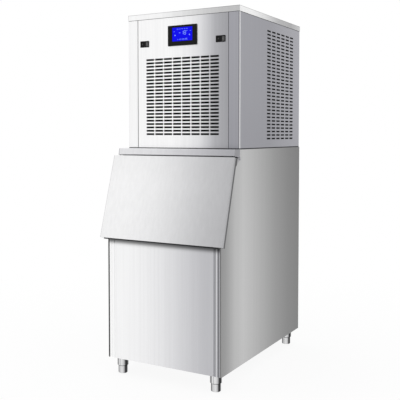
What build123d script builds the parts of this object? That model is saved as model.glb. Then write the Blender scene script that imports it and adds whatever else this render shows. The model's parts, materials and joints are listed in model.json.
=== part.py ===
from build123d import *
from math import hypot
import os

# Granular ice machine: an insulated storage bin on four legs with a slanted lift-up door,
# and a slotted head above it that holds the ice maker and its refrigeration.
# Millimetres, +Z up, the front faces -Y, origin on the floor under the middle of the whole box.

# Overall sizes
width = 560.0
bin_depth = 838.0
bin_height = 916.0
head_depth = 680.0
head_height = 597.0
leg_height = 74.0
slope_step = 38.4593
slope_start = 525.0
fitting_reach = 22.0

# Sheet metal
sheet = 1.2
bend = 3.0
touch = 0.3
bin_return = 5.0
front_panel_gap = 2.5
front_panel_return = 8.0
crease_inset = 24.5
crease_width = 4.0
crease_depth = 2.0
crease_flank = 1.0
bead_inset = 11.0
bead_width = 2.0
bead_depth = 1.2
bead_flank = 0.5

# Bin insulation, liner and mouth
insulation = 44.0
liner_wall = 2.5
mouth_margin = 62.0
mouth_low = 45.0
mouth_under_top = 108.0
mouth_sheet = 1.5

# Ice throat, chute and level flap
chute_x = 0.0
chute_size = 100.0
chute_wall = 2.0
chute_drop = 14.0
chute_over_spout = 17.0
flap_width = 70.0
flap_length = 55.0
flap_thickness = 1.5
flap_pin = 2.0
flap_pin_end = 3.0
flap_lug = 3.0
flap_lug_gap = 0.7
flap_lug_reach = 10.0
flap_lug_under = 2.0
flap_pin_rise = 6.0

# Door, in the slope's own directions: along the slope and out from it
door_margin = 19.0
door_low = -2.0
door_under_top = 41.5
door_proud = 34.0
door_sheet = 1.5
door_return = 24.0
pivot_under_top = 33.5
pivot_out = -14.0
ear_radius = 9.0
ear_root = 36.0
ear_overlap = 2.0
pin_radius = 4.0
running = 0.05
pin_head = 2.0
pin_head_radius = 7.0
boss_radius = 6.5
bracket_sheet = 2.5
bracket_length = 34.0
bracket_half_height = 9.0
door_liner_margin = 14.0
door_liner_under_top = 81.0
door_liner_wall = 2.0
gasket_gap = 0.2
gasket_height = 6.0
gasket_width = 16.0
gasket_margin = 10.0
plug_depth = 14.0
plug_clearance = 16.0

# Hinge cover strip
cover_margin = 10.0
cover_height = 28.0
cover_reach = 20.0
cover_lean = 6.0
cover_end_depth = 44.0
cover_rear_gap = 1.0

# Legs
leg_side_inset = 47.0
leg_front_inset = 42.0
leg_rear_inset = 44.0
sleeve_radius = 25.0
sleeve_height = 40.0
sleeve_chamfer = 6.0
stem_radius = 15.0
stem_rise = 34.0
stem_clearance = 1.0
foot_radius = 21.0
foot_edge = 5.0
foot_travel = 20.0

# Head shell
head_inset = 1.5
seam_inset = 52.0
seam_gap = 2.0
head_rear_return = 18.0
front_return = 14.0
cap_skirt = 24.0
cap_edge = 2.0
tray_lip = 20.0
tray_throat_gap = 7.0
frame_leg = 20.0
frame_sheet = 1.5

# Slots: front panel and side panels
front_columns = 8
front_rows = 23
front_pitch_x = 46.3
front_slot_length = 39.0
front_slot_height = 6.5
front_slots_low = 64.0
front_plain_band = 204.0
side_columns = 6
side_rows = 31
side_pitch_y = 53.6
side_slot_length = 38.5
side_slot_height = 6.5
side_slots_low = 44.0
side_plain_band = 70.0
side_slots_rear = 108.0
back_columns = 4
back_rows = 14
back_pitch_x = 90.0
back_pitch_z = 18.0
back_slot_length = 76.0
back_slot_height = 7.0
back_slots_mid = 400.0
filter_depth = 7.0
filter_margin = 12.0
side_filter_depth = 6.0

# Display and switches on the front panel
display_x = 5.0
display_width = 145.0
display_height = 88.0
display_under_top = 106.0
display_proud = 4.0
bezel_lip = 6.0
bezel_corner = 2.5
bezel_depth = 8.0
screen_width = 101.0
screen_height = 59.0
screen_lift = 5.0
screen_recess = 1.5
screen_depth = 4.0
screen_fit = 0.1
control_width = 220.0
control_height = 130.0
control_depth = 80.0
control_tab = 60.0
switch_x = 191.0
switch_under_top = 133.0
switch_width = 45.0
switch_height = 28.0
switch_flange = 2.0
switch_body_width = 41.0
switch_body_height = 24.0
switch_body_depth = 20.0
switch_corner = 2.0
switch_back = 4.0
rocker_width = 37.0
rocker_height = 20.0
rocker_tilt = 8.0
rocker_depth = 3.0
rocker_crown = 7.0
rocker_valley = 4.0
rocker_shoulder = 1.5
rocker_belly = 5.0
rocker_belly_half = 6.0
rocker_side_gap = 1.0
rocker_pin = 1.5
rocker_pin_length = 1.2
rocker_gap = 0.3

# Ice maker
maker_x = 150.0
maker_from_back = 394.5496
gearbox_width = 150.0
gearbox_depth = 130.0
gearbox_height = 78.0
gearbox_corner = 14.0
bridge_half = 50.0
bridge_height = 50.0
bridge_front = 40.0
bridge_overlap = 5.0
drive_motor_radius = 46.0
drive_motor_height = 120.0
drive_motor_offset = 135.0
drive_motor_cap = 12.0
barrel_height = 250.0
barrel_bore = 32.0
barrel_wall = 6.0
barrel_jacket = 20.0
barrel_flange = 10.0
barrel_foot_rim = 6.0
barrel_neck = 8.0
auger_shaft = 11.0
auger_turns = 5
auger_gap = 0.3
auger_start = 8.0
auger_spare = 30.0
auger_under_spout = 12.0
flight_root = 1.0
flight_thickness = 4.0
journal_radius = 8.0
journal_length = 30.0
journal_clearance = 2.0
spout_wall = 3.0
spout_height = 74.0
spout_opening = 50.0
spout_rise = 8.0
spout_narrowing = 5.0
bearing_height = 10.0
bearing_wall = 6.0

# Refrigeration
compressor_x = -130.0
compressor_from_back = 184.5496
compressor_radius = 80.0
compressor_height = 190.0
compressor_plate = 190.0
compressor_plate_sheet = 4.0
compressor_foot = 18.0
condenser_x = -100.0
condenser_width = 280.0
condenser_height = 270.0
condenser_depth = 50.0
condenser_setback = 30.0
condenser_tubes = 6
condenser_end = 8.0
condenser_plate = 2.0
fin_inset = 3.0
fin_top_gap = 4.0
tube_bend_reach = 12.0
tube_radius = 5.0
shroud_depth = 34.0
fan_radius = 104.0
fan_blades = 5
fan_hub = 26.0
fan_pitch = 28.0
fan_shaft = 4.0
fan_clearance = 6.0
fan_front_reach = 12.0
fan_rear_reach = 14.0
fan_shaft_length = 12.0
fan_chord = 52.0
fan_sheet = 2.0
fan_root = 4.0
fan_sweep_depth = 20.0
fan_shift = 10.0
fan_motor_radius = 34.0
fan_motor_length = 60.0
fan_motor_gap = 16.0
fan_bar_setback = 4.0
fan_bar_sheet = 3.0
fan_bar_half = 7.0
fan_bar_margin = 14.0
discharge_rise = 70.0
discharge_offset = 120.0
tube_turn = 5.0
liquid_drop = 30.0
liquid_rise = 40.0
liquid_overlap = 2.0
suction_drop = 40.0

# Water side
tank_width = 120.0
tank_depth = 90.0
tank_height = 100.0
tank_wall = 2.5
tank_x = 175.0
tank_low = 150.0
float_radius = 16.0
float_length = 50.0
float_arm_length = 48.0
float_pin = 2.0
float_pin_reach = 9.0
float_hub_radius = 4.0
float_hub_half = 6.0
float_arm_half = 3.0
float_arm_thickness = 4.0
float_set_back = 4.0
float_hang = 6.0
float_pivot_depth = 16.0
float_pivot_rise = 62.0
tank_ear_spacing = 8.0
tank_ear_sheet = 3.0
tank_ear_half = 5.0
inlet_below_rim = 25.0

# Rear fittings
inlet_radius = 13.0
inlet_bore = 9.0
inlet_wall = 3.0
inlet_flange_rim = 5.0
drain_radius = 12.5
drain_bore = 10.0
drain_wall = 2.0
drain_flange_rim = 6.0
drain_height = 130.0
drain_x = 180.0
gland_thread_radius = 9.0
gland_bore = 4.5
gland_inside = 8.0
gland_outside = 14.0
gland_nut = 8.0
gland_nut_radius = 14.0
gland_x = -180.0
gland_height = 60.0
fitting_flange = 3.0

# How far a cutter runs past what it cuts
past = 1.0

# Places worked out from the sizes
half = width / 2
slope_run = bin_depth - head_depth - slope_step
slope_length = hypot(slope_run, bin_height - slope_start)
rise = (bin_height - slope_start) / slope_length
run = slope_run / slope_length
mouth_half = half - mouth_margin
mouth_high = slope_length - mouth_under_top
door_half = half + door_margin
door_high = slope_length - door_under_top
door_liner_half = door_half - door_liner_margin
door_liner_high = slope_length - door_liner_under_top
pivot_along = slope_length - pivot_under_top
cover_half = half + cover_margin
leg_x = half - leg_side_inset
seam_x = half - seam_inset
display_mid = head_height - display_under_top
switch_mid = head_height - switch_under_top
front_pitch_z = (head_height - front_slots_low - front_plain_band) / (front_rows - 1)
side_pitch_z = (head_height - side_slots_low - side_plain_band) / (side_rows - 1)
side_slots_front = head_depth - side_slots_rear - side_pitch_y * (side_columns - 1)
door_overhang = door_proud * rise - door_low * run
overall_depth = door_overhang + bin_depth + fitting_reach
back = overall_depth / 2 - fitting_reach
bin_front = back - bin_depth
head_front = back - head_depth
maker_y = back - maker_from_back
chute_y = maker_y
compressor_y = back - compressor_from_back
bin_base_z = leg_height
bin_top = leg_height + bin_height
bend_z = leg_height + slope_start
head_top = bin_top + head_height
head_half = half - head_inset
shell_front = head_front + head_inset
shell_back = back - head_inset
front_inner = shell_front + sheet
back_inner = shell_back - 2 * sheet
side_inner = head_half - sheet
tray_top = bin_top + sheet
cap_under = head_top - sheet
liner_skin = sheet + insulation
liner_ceiling = bin_top - liner_skin - liner_wall
chute_low = liner_ceiling - chute_drop
tray_front = shell_front + front_return
slope = Plane(origin=(0, bin_front, bend_z), x_dir=(1, 0, 0), z_dir=(0, -rise, run))
barrel_low = tray_top + gearbox_height
barrel_high = barrel_low + barrel_height
chute_top = barrel_high + spout_height + chute_over_spout
flap_y = chute_y + chute_size / 2 + flap_lug_reach / 2
flap_z = chute_low + flap_pin_rise
fan_x = condenser_x
fan_z = tray_top + condenser_height / 2
condenser_front = front_inner + filter_depth + condenser_setback
shroud_front = condenser_front + condenser_depth
tube_y = condenser_front + condenser_depth / 2
tube_pitch = condenser_height / (condenser_tubes + 1)
fan_front = shroud_front + shroud_depth
leg_front = bin_front + leg_front_inset
leg_rear = back - leg_rear_inset
rocker_axis_y = shell_front + rocker_depth


# Basic shapes

def block(x0, x1, y0, y1, z0, z1):
    box = Box(x1 - x0, y1 - y0, z1 - z0)
    return Pos((x0 + x1) / 2, (y0 + y1) / 2, (z0 + z1) / 2) * box


def post(x, y, z0, z1, radius):
    return Pos(x, y, (z0 + z1) / 2) * Cylinder(radius, z1 - z0)


def rod_x(x0, x1, y, z, radius):
    return Pos((x0 + x1) / 2, y, z) * Rot(0, 90, 0) * Cylinder(radius, x1 - x0)


def rod_y(x, y0, y1, z, radius):
    return Pos(x, (y0 + y1) / 2, z) * Rot(90, 0, 0) * Cylinder(radius, y1 - y0)


def side_prism(outline, x0, x1):
    face = Plane.YZ.offset(x0) * make_face(Polyline(*outline, close=True))
    return extrude(face, amount=x1 - x0)


def plan_sheet(outline, thickness, radius, z0, z1):
    """A folded sheet: its section in plan, on the left of the outline, drawn up from z0 to z1."""
    path = FilletPolyline(*outline, radius=radius)
    section = offset(path, amount=thickness, side=Side.LEFT)
    return extrude(Pos(0, 0, z0) * make_face(section.edges()), amount=z1 - z0)


def slope_block(x0, x1, along0, along1, out0, out1):
    box = Box(x1 - x0, along1 - along0, out1 - out0)
    return slope * Pos((x0 + x1) / 2, (along0 + along1) / 2, (out0 + out1) / 2) * box


def slope_point(along, out):
    return (bin_front + along * run - out * rise, bend_z + along * rise + out * run)


def on_slope_at_z(out, z):
    return slope_point((z - bend_z - out * run) / rise, out)


def on_slope_at_y(out, y):
    return slope_point((y - bin_front + out * rise) / run, out)


pivot_y, pivot_z = slope_point(pivot_along, pivot_out)


def left_of(shape):
    return mirror(shape, about=Plane.YZ)


# Bin

def bin_outline(inset, front_inset, base_inset, top_inset):
    return [
        (back - inset, bin_base_z + base_inset),
        (back - inset, bin_top - top_inset),
        on_slope_at_z(-inset, bin_top - top_inset),
        on_slope_at_y(-inset, bin_front + front_inset),
        (bin_front + front_inset, bin_base_z + base_inset),
    ]


def bin_side():
    outer = side_prism(bin_outline(0, 0, 0, 0), half - bin_return, half)
    inner = side_prism(bin_outline(sheet, sheet, sheet, sheet), half - bin_return - past, half - sheet)
    return outer - inner


def groove(x, width_across, depth, flank):
    return [(x - width_across, bin_front), (x - width_across + flank, bin_front + depth),
            (x - flank, bin_front + depth), (x, bin_front)]


def bin_front_panel():
    edge = half - bin_return - front_panel_gap
    right = groove(edge - crease_inset, crease_width, crease_depth, crease_flank)
    right += groove(edge - bead_inset, bead_width, bead_depth, bead_flank)
    right += [(edge, bin_front), (edge, bin_front + front_panel_return)]
    left = [(-x, y) for x, y in reversed(right)]
    section = offset(Polyline(*(left + right)), amount=sheet, side=Side.LEFT)
    return extrude(Pos(0, 0, bin_base_z) * make_face(section.edges()), amount=slope_start - mouth_sheet)


def bin_back_panel():
    inner_half = half - bin_return - touch
    panel = block(-inner_half, inner_half, back - sheet, back, bin_base_z, bin_top)
    return panel - rod_y(drain_x, back - 2 * sheet, back + sheet, bin_base_z + drain_height,
                         drain_radius + touch)


def bin_base():
    inner_half = half - bin_return - touch
    front_edge = bin_front + front_panel_return + touch
    plate = block(-inner_half, inner_half, front_edge, back - sheet, bin_base_z, bin_base_z + sheet)
    for x in (-leg_x, leg_x):
        for y in (leg_front, leg_rear):
            plate -= post(x, y, bin_base_z - past, bin_base_z + 2 * sheet, stem_radius + stem_clearance)
    return plate


def throat_hole(z0, z1, margin):
    reach = chute_size / 2 + margin
    return block(chute_x - reach, chute_x + reach, chute_y - reach, chute_y + reach, z0, z1)


def mouth_tunnel(margin, out0, out1):
    return slope_block(-mouth_half - margin, mouth_half + margin,
                       mouth_low - margin, mouth_high + margin, out0, out1)


def bin_liner():
    skin = liner_skin + liner_wall
    outer = side_prism(bin_outline(liner_skin, liner_skin, liner_skin, liner_skin),
                       liner_skin - half, half - liner_skin)
    outer += mouth_tunnel(liner_wall, -liner_skin - liner_wall, -mouth_sheet)
    outer += throat_hole(bin_top - skin, bin_top - 2 * sheet, touch + liner_wall)
    outer -= side_prism(bin_outline(skin, skin, skin, skin), skin - half, half - skin)
    outer -= mouth_tunnel(0, -2 * liner_skin, 0)
    outer -= throat_hole(bin_top - 2 * skin, bin_top, touch)
    return outer - liner_drain(drain_bore)


def liner_drain(radius):
    return rod_y(drain_x, back - 2 * liner_skin, back + past, bin_base_z + drain_height, radius)


def bin_foam():
    foam = side_prism(bin_outline(mouth_sheet, front_panel_return, sheet, 2 * sheet),
                      sheet - half, half - sheet)
    foam -= side_prism(bin_outline(liner_skin, liner_skin, liner_skin, liner_skin),
                       liner_skin - half, half - liner_skin)
    foam -= mouth_tunnel(liner_wall, -2 * liner_skin, 0)
    foam -= throat_hole(bin_top - 2 * liner_skin, bin_top, touch + liner_wall)
    for x in (-leg_x, leg_x):
        for y in (leg_front, leg_rear):
            foam -= post(x, y, bin_base_z, bin_base_z + stem_rise, stem_radius + stem_clearance)
    return foam - liner_drain(drain_radius)


def mouth_frame():
    inner_half = half - bin_return - touch
    plate = slope_block(-inner_half, inner_half, 0, slope_length - sheet, -mouth_sheet, 0)
    return plate - mouth_tunnel(0, -2 * mouth_sheet, mouth_sheet)


def bin_deck():
    front_edge = on_slope_at_z(-mouth_sheet, bin_top)[0]
    plate = block(sheet - half, half - sheet, front_edge + touch, back - sheet,
                  bin_top - 2 * sheet, bin_top - sheet)
    return plate - throat_hole(bin_top - 3 * sheet, bin_top, touch)


def bin_drain():
    z = bin_base_z + drain_height
    inside = back - liner_skin - liner_wall
    tube = rod_y(drain_x, inside, back + fitting_reach, z, drain_bore)
    tube += rod_y(drain_x, back, back + fitting_reach, z, drain_radius)
    tube += rod_y(drain_x, back, back + fitting_flange, z, drain_radius + drain_flange_rim)
    return tube - rod_y(drain_x, inside - past, back + fitting_reach + past, z, drain_bore - drain_wall)


def hinge_cover():
    y_top = on_slope_at_z(0, bin_top)[0] - cover_reach
    y_low = y_top - cover_lean
    z_low = bin_top - cover_height
    y_rear = head_front - cover_rear_gap
    lip_end = on_slope_at_z(touch, z_low)[0]
    outer = [(lip_end, z_low), (y_low, z_low), (y_top, tray_top), (y_rear, tray_top)]
    section = offset(FilletPolyline(*outer, radius=bend), amount=sheet, side=Side.RIGHT)
    strip = extrude(Plane.YZ.offset(-cover_half) * make_face(section.edges()), amount=2 * cover_half)
    end = side_prism([(y_low, z_low), (y_top, tray_top), (y_top + cover_end_depth, tray_top),
                      (y_top + cover_end_depth, z_low)], cover_half - sheet, cover_half)
    end = fillet(end.edges().filter_by(Axis.X).sort_by(Axis.Y)[:2], bend)
    return strip + end + left_of(end)


def hinge_bracket():
    boss_end = door_half - door_sheet - touch
    plate_x = half + bracket_sheet
    bracket = block(half, plate_x, pivot_y, pivot_y + bracket_length,
                    pivot_z - bracket_half_height, pivot_z + bracket_half_height)
    bracket += rod_x(half, plate_x, pivot_y, pivot_z, bracket_half_height)
    bracket += rod_x(plate_x, boss_end, pivot_y, pivot_z, boss_radius)
    bracket += rod_x(boss_end, door_half + touch, pivot_y, pivot_z, pin_radius)
    bracket += rod_x(door_half + touch, door_half + touch + pin_head, pivot_y, pivot_z, pin_head_radius)
    return bracket


# Legs

def leg_sleeve(x, y):
    sleeve = post(x, y, bin_base_z - sleeve_height, bin_base_z, sleeve_radius)
    sleeve = chamfer(sleeve.edges().filter_by(GeomType.CIRCLE).sort_by(Axis.Z)[0], sleeve_chamfer / 2,
                     sleeve_chamfer)
    return sleeve - post(x, y, 0, bin_base_z + past, stem_radius + running)


def foot(x, y):
    shoulder = bin_base_z - sleeve_height - touch
    base = post(x, y, 0, shoulder, foot_radius)
    base = fillet(base.edges().filter_by(GeomType.CIRCLE).sort_by(Axis.Z)[0], foot_edge)
    return base + post(x, y, shoulder, shoulder + stem_rise + foot_travel, stem_radius)


# Door

def door_skin():
    inner_half = door_half - door_sheet
    out_back = door_proud - door_return
    skin = slope_block(-door_half, door_half, door_low, door_high, out_back, door_proud)
    skin -= slope_block(-inner_half, inner_half, door_low + door_sheet, door_high + past,
                        out_back - past, door_proud - door_sheet)
    skin += slope_block(-inner_half, inner_half, door_low, -touch, out_back, out_back + door_sheet)
    root_out = out_back + ear_overlap
    ear = make_face(Polyline((door_high - ear_root, root_out), (door_high, root_out),
                             (pivot_along + ear_radius, pivot_out), (pivot_along - ear_radius, pivot_out),
                             close=True))
    ear += Pos(pivot_along, pivot_out) * Circle(ear_radius)
    ear -= Pos(pivot_along, pivot_out) * Circle(pin_radius + running)
    # The ear is drawn in the plane across the hinge line: along the slope, and out from it.
    ear_plane = Plane(origin=slope.origin, x_dir=slope.y_dir, z_dir=slope.x_dir)
    for x in (-door_half, inner_half):
        skin += extrude(ear_plane.offset(x) * ear, amount=door_sheet)
    return skin


def door_tray(half_width, low, high, out0, out1, grow):
    return slope_block(-half_width + grow, half_width - grow, low + grow, high - grow, out0, out1)


def door_liner():
    wall = door_liner_wall
    face_out = gasket_height
    inside = door_proud - door_sheet
    shell = door_tray(door_liner_half, 0, door_liner_high, face_out, inside, 0)
    shell += door_plug(0, -plug_depth)
    shell -= door_tray(door_liner_half, 0, door_liner_high, face_out + wall, inside, wall)
    return shell - door_plug(wall, wall - plug_depth)


def door_plug(grow, depth):
    gap = plug_clearance + grow
    return slope_block(gap - mouth_half, mouth_half - gap, mouth_low + gap, mouth_high - gap,
                       gasket_height + depth, gasket_height + door_liner_wall)


def door_foam():
    wall = door_liner_wall
    core = door_tray(door_liner_half, 0, door_liner_high, gasket_height + wall,
                     door_proud - door_sheet, wall)
    return core + door_plug(wall, wall - plug_depth)


def door_gasket():
    inner = gasket_margin
    outer = inner + gasket_width
    ring = slope_block(-mouth_half - outer, mouth_half + outer, mouth_low - outer, mouth_high + outer,
                       gasket_gap, gasket_height)
    ring -= slope_block(-mouth_half - inner, mouth_half + inner, mouth_low - inner, mouth_high + inner,
                        0, gasket_height + past)
    return ring


# Head shell

def head_tray():
    rim = block(-side_inner, side_inner, tray_front, back_inner, bin_top, bin_top + tray_lip)
    rim = fillet(rim.edges().filter_by(Axis.Z), bend)
    rim -= block(-side_inner + sheet, side_inner - sheet, tray_front + sheet, back_inner - sheet,
                 tray_top, bin_top + tray_lip + past)
    return rim - throat_hole(bin_top - past, tray_top + past, tray_throat_gap)


def slot_grid(pitch_u, pitch_v, columns, rows, length, height):
    return Sketch() + GridLocations(pitch_u, pitch_v, columns, rows) * Rectangle(length, height)


def side_panel():
    outline = [(seam_x + seam_gap / 2, shell_front), (head_half, shell_front),
               (head_half, shell_back), (head_half - head_rear_return, shell_back)]
    panel = plan_sheet(outline, sheet, bend, bin_top, cap_under)
    mid_y = head_front + side_slots_front + side_pitch_y * (side_columns - 1) / 2
    mid_z = bin_top + side_slots_low + side_pitch_z * (side_rows - 1) / 2
    slots = slot_grid(side_pitch_y, side_pitch_z, side_columns, side_rows, side_slot_length, side_slot_height)
    cutter = extrude(Plane.YZ.offset(side_inner - past) * Pos(mid_y, mid_z) * slots,
                     amount=2 * sheet + past)
    return panel - cutter


def front_panel():
    edge = seam_x - seam_gap / 2
    outline = [(-edge, shell_front + front_return), (-edge, shell_front),
               (edge, shell_front), (edge, shell_front + front_return)]
    panel = plan_sheet(outline, sheet, bend / 2, bin_top, cap_under)
    mid_z = bin_top + front_slots_low + front_pitch_z * (front_rows - 1) / 2
    openings = Pos(0, mid_z) * slot_grid(front_pitch_x, front_pitch_z, front_columns, front_rows,
                                         front_slot_length, front_slot_height)
    openings += Pos(display_x, bin_top + display_mid) * Rectangle(display_width - 2 * bezel_lip,
                                                                  display_height - 2 * bezel_lip)
    for x in (-switch_x, switch_x):
        openings += Pos(x, bin_top + switch_mid) * Rectangle(switch_body_width + touch,
                                                             switch_body_height + touch)
    cutter = extrude(Plane.XZ.offset(-front_inner - past) * openings, amount=2 * sheet + past)
    return panel - cutter


def back_panel():
    edge = side_inner - bend + sheet - touch
    panel = block(-edge, edge, back_inner, back_inner + sheet, bin_top, cap_under)
    slots = slot_grid(back_pitch_x, back_pitch_z, back_columns, back_rows, back_slot_length, back_slot_height)
    cutter = extrude(Plane.XZ.offset(-back) * Pos(0, bin_top + back_slots_mid) * slots,
                     amount=back - back_inner + past)
    panel -= cutter
    panel -= rod_y(tank_x, back_inner - past, back, inlet_z, inlet_bore + touch)
    return panel - rod_y(gland_x, back_inner - past, back, bin_top + gland_height,
                         gland_thread_radius + touch)


def cap():
    outer = block(-half, half, head_front, back, head_top - cap_skirt, head_top)
    outer = fillet(outer.edges().filter_by(Axis.Z), cap_edge)
    inner = block(sheet - half, half - sheet, head_front + sheet, back - sheet,
                  head_top - cap_skirt - past, cap_under)
    return outer - inner


def head_frame():
    x1 = side_inner - sheet
    y0 = tray_front + sheet
    y1 = back_inner - sheet
    z0 = tray_top
    z1 = cap_under - touch
    frame = block(-x1, x1, y0, y1, z0, z1)
    frame -= block(frame_sheet - x1, x1 - frame_sheet, y0 + frame_sheet, y1 - frame_sheet,
                   z0 - past, z1 + past)
    # These two cuts leave four angle posts joined by rails round the top.
    frame -= block(-x1 - past, x1 + past, y0 + frame_leg, y1 - frame_leg, z0 - past, z1 - frame_leg)
    frame -= block(frame_leg - x1, x1 - frame_leg, y0 - past, y1 + past, z0 - past, z1 - frame_leg)
    return frame


def front_filter():
    reach_x = front_pitch_x * front_columns / 2 + filter_margin
    low = bin_top + front_slots_low - filter_margin
    high = low + front_pitch_z * (front_rows - 1) + 2 * filter_margin
    return block(-reach_x, reach_x, front_inner, front_inner + filter_depth, low, high)


def side_filter():
    y0 = head_front + side_slots_front - side_slot_length / 2 - filter_margin
    y1 = y0 + side_pitch_y * (side_columns - 1) + side_slot_length + 2 * filter_margin
    z0 = bin_top + side_slots_low - filter_margin
    z1 = z0 + side_pitch_z * (side_rows - 1) + 2 * filter_margin
    return block(side_inner - side_filter_depth, side_inner, y0, y1, z0, z1)


# Display and switches

def display_bezel():
    z = bin_top + display_mid
    reach_x = display_width / 2
    reach_z = display_height / 2
    bezel = block(display_x - reach_x, display_x + reach_x, shell_front - display_proud, shell_front,
                  z - reach_z, z + reach_z)
    bezel = fillet(bezel.edges().filter_by(Axis.Y), bezel_corner)
    inner_x = reach_x - bezel_lip - touch
    inner_z = reach_z - bezel_lip - touch
    bezel += block(display_x - inner_x, display_x + inner_x, shell_front, front_inner + bezel_depth,
                   z - inner_z, z + inner_z)
    return bezel - screen_pocket(0, shell_front - display_proud - past, shell_front + screen_depth)


def screen_pocket(shrink, y0, y1):
    z = bin_top + display_mid + screen_lift
    reach_x = screen_width / 2 - shrink
    reach_z = screen_height / 2 - shrink
    return block(display_x - reach_x, display_x + reach_x, y0, y1, z - reach_z, z + reach_z)


def display_screen():
    return screen_pocket(screen_fit, shell_front - display_proud + screen_recess, shell_front + screen_depth)


def control_box():
    z0 = bin_top + display_mid - control_height / 2
    z1 = z0 + control_height
    y0 = front_inner + bezel_depth
    y1 = y0 + control_depth
    reach = control_width / 2
    box = block(display_x - reach, display_x + reach, y0, y1, z0, z1)
    inside = reach - frame_sheet
    box -= block(display_x - inside, display_x + inside, y0 + frame_sheet, y1 - frame_sheet,
                 z0 + frame_sheet, z1 - frame_sheet)
    tab = block(display_x - control_tab / 2, display_x + control_tab / 2, y1 - frame_sheet, y1,
                z1, cap_under - touch)
    return box + tab


def switch_housing(x):
    z = bin_top + switch_mid
    flange = block(x - switch_width / 2, x + switch_width / 2, shell_front - switch_flange, shell_front,
                   z - switch_height / 2, z + switch_height / 2)
    flange = fillet(flange.edges().filter_by(Axis.Y), switch_corner)
    body = block(x - switch_body_width / 2, x + switch_body_width / 2, shell_front,
                 shell_front + switch_body_depth, z - switch_body_height / 2, z + switch_body_height / 2)
    reach = rocker_width / 2 + rocker_side_gap
    pocket = block(x - reach, x + reach, shell_front - switch_flange - past,
                   shell_front + switch_body_depth - switch_back,
                   z - rocker_height / 2 - rocker_gap, z + rocker_height / 2 + rocker_gap)
    bore = post(x, rocker_axis_y, z - switch_body_height / 2, z + switch_body_height / 2,
                rocker_pin + running)
    return flange + body - pocket - bore


def rocker(x):
    edge = rocker_width / 2
    shoulder = edge - rocker_shoulder
    outline = make_face(Polyline((-edge, -rocker_crown), (0, -rocker_valley), (edge, -rocker_crown),
                                 (shoulder, rocker_shoulder), (rocker_belly_half, rocker_belly),
                                 (-rocker_belly_half, rocker_belly), (-shoulder, rocker_shoulder),
                                 close=True))
    body = extrude(outline, amount=rocker_height / 2, both=True)
    body += Cylinder(rocker_pin, rocker_height + 2 * (rocker_gap + rocker_pin_length))
    return Pos(x, rocker_axis_y, bin_top + switch_mid) * Rot(0, 0, rocker_tilt) * body


# Ice maker

def gear_motor():
    side = gearbox_width / 2
    front = maker_y - gearbox_depth / 2
    box = block(maker_x - side, maker_x + side, front, front + gearbox_depth, tray_top, barrel_low)
    box = fillet(box.edges().filter_by(Axis.Z), gearbox_corner)
    motor_y = maker_y - drive_motor_offset
    motor_low = tray_top + bridge_height
    motor_top = motor_low + drive_motor_height
    unit = box + block(maker_x - bridge_half, maker_x + bridge_half, motor_y - bridge_front,
                       front + bridge_overlap, tray_top, motor_low)
    unit += post(maker_x, motor_y, motor_low, motor_top, drive_motor_radius)
    unit += post(maker_x, motor_y, motor_top, motor_top + drive_motor_cap,
                 drive_motor_radius - drive_motor_cap)
    return unit - post(maker_x, maker_y, barrel_low - journal_length - journal_clearance, barrel_low + past,
                       journal_radius + running)


def barrel():
    radius = barrel_bore + barrel_wall + barrel_jacket
    jacket_low = barrel_low + barrel_flange
    jacket_high = barrel_high - barrel_flange
    body = post(maker_x, maker_y, barrel_low, jacket_low, radius + barrel_foot_rim)
    body += post(maker_x, maker_y, jacket_low, jacket_high, radius)
    body += post(maker_x, maker_y, jacket_high, barrel_high, barrel_bore + barrel_wall + barrel_neck)
    return body - post(maker_x, maker_y, barrel_low - past, barrel_high + past, barrel_bore)


def auger():
    low = barrel_low + auger_start
    flight_height = barrel_height - auger_spare
    core = post(maker_x, maker_y, barrel_low, barrel_high + spout_height - auger_under_spout, auger_shaft)
    core += post(maker_x, maker_y, barrel_low - journal_length, barrel_low, journal_radius)
    outer = barrel_bore - auger_gap
    inner = auger_shaft - flight_root
    path = Helix(pitch=flight_height / auger_turns, height=flight_height, radius=(outer + inner) / 2)
    start = Plane(origin=path @ 0, z_dir=path % 0, x_dir=(1, 0, 0))
    blade = start * Rectangle(outer - inner, flight_thickness)
    flight = sweep(blade, path=path, is_frenet=True)
    return core + Pos(maker_x, maker_y, low + flight_thickness) * flight


def spout():
    outer = barrel_bore + barrel_wall + barrel_neck
    z0 = barrel_high
    z1 = z0 + spout_height
    side = chute_x + chute_size / 2 + touch
    half_open = spout_opening / 2
    duct_low = z0 + spout_rise
    opening_low = duct_low + spout_wall
    opening_high = opening_low + spout_opening
    head = post(maker_x, maker_y, z0, z1, outer)
    duct = block(side, maker_x, maker_y - half_open - spout_wall, maker_y + half_open + spout_wall,
                 duct_low, opening_high + spout_wall)
    inner = post(maker_x, maker_y, z0 - past, z1 - spout_wall, outer - spout_wall - spout_narrowing)
    passage = block(side - past, maker_x, maker_y - half_open, maker_y + half_open, opening_low, opening_high)
    bearing = post(maker_x, maker_y, z1 - bearing_height, z1, auger_shaft + bearing_wall)
    shaft_hole = post(maker_x, maker_y, z0, z1 + past, auger_shaft + running)
    return head + duct - inner - passage + bearing - shaft_hole


def chute():
    outer = chute_size / 2
    inner = outer - chute_wall
    tube = block(chute_x - outer, chute_x + outer, chute_y - outer, chute_y + outer, chute_low, chute_top)
    tube -= block(chute_x - inner, chute_x + inner, chute_y - inner, chute_y + inner,
                  chute_low - past, chute_top - chute_wall)
    half_open = spout_opening / 2
    opening_low = barrel_high + spout_rise + spout_wall
    tube -= block(chute_x, chute_x + outer + past, maker_y - half_open, maker_y + half_open,
                  opening_low, opening_low + spout_opening)
    for side in (-1, 1):
        x = chute_x + side * (flap_width / 2 + flap_lug_gap + flap_lug / 2)
        lug = block(x - flap_lug / 2, x + flap_lug / 2, chute_y + outer, chute_y + outer + flap_lug_reach,
                    chute_low, chute_low + chute_drop - flap_lug_under)
        tube += lug - rod_x(x - flap_lug, x + flap_lug, flap_y, flap_z, flap_pin + running)
    return tube


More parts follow.
